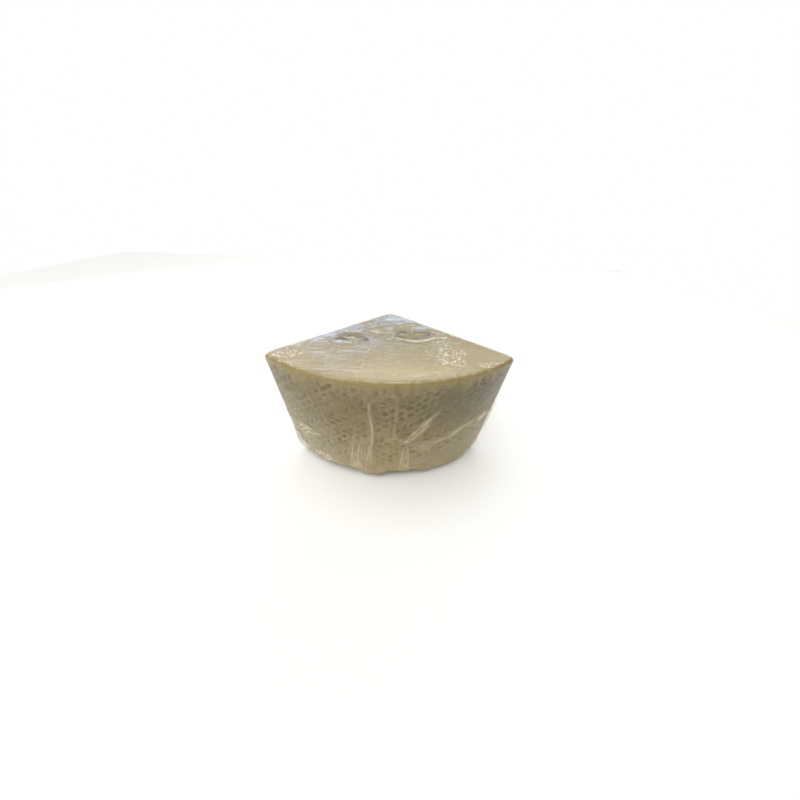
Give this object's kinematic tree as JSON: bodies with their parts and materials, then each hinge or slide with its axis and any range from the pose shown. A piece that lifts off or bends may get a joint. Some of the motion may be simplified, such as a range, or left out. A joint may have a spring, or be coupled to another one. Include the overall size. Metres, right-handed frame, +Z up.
{
  "type": "quarter of a half wheel of pecorino romano cheese in clear film",
  "caption": "Quarter of a half wheel of hard sheep's-milk cheese with a marked rind, tightly wrapped in clear stretch film.",
  "frame": {"origin": "centre of the footprint's box, on the surface the piece stands on", "axes": "+Z up out of the level cut, +X along the chord of the rind, +Y from the rind towards the point where the two upright cuts meet"},
  "size_m": [0.223, 0.1566, 0.13],
  "materials": {
    "cheese": null,
    "film": null
  },
  "bodies": {
    "root": {"wrapped_cheese": "cheese"}
  },
  "joints": []
}
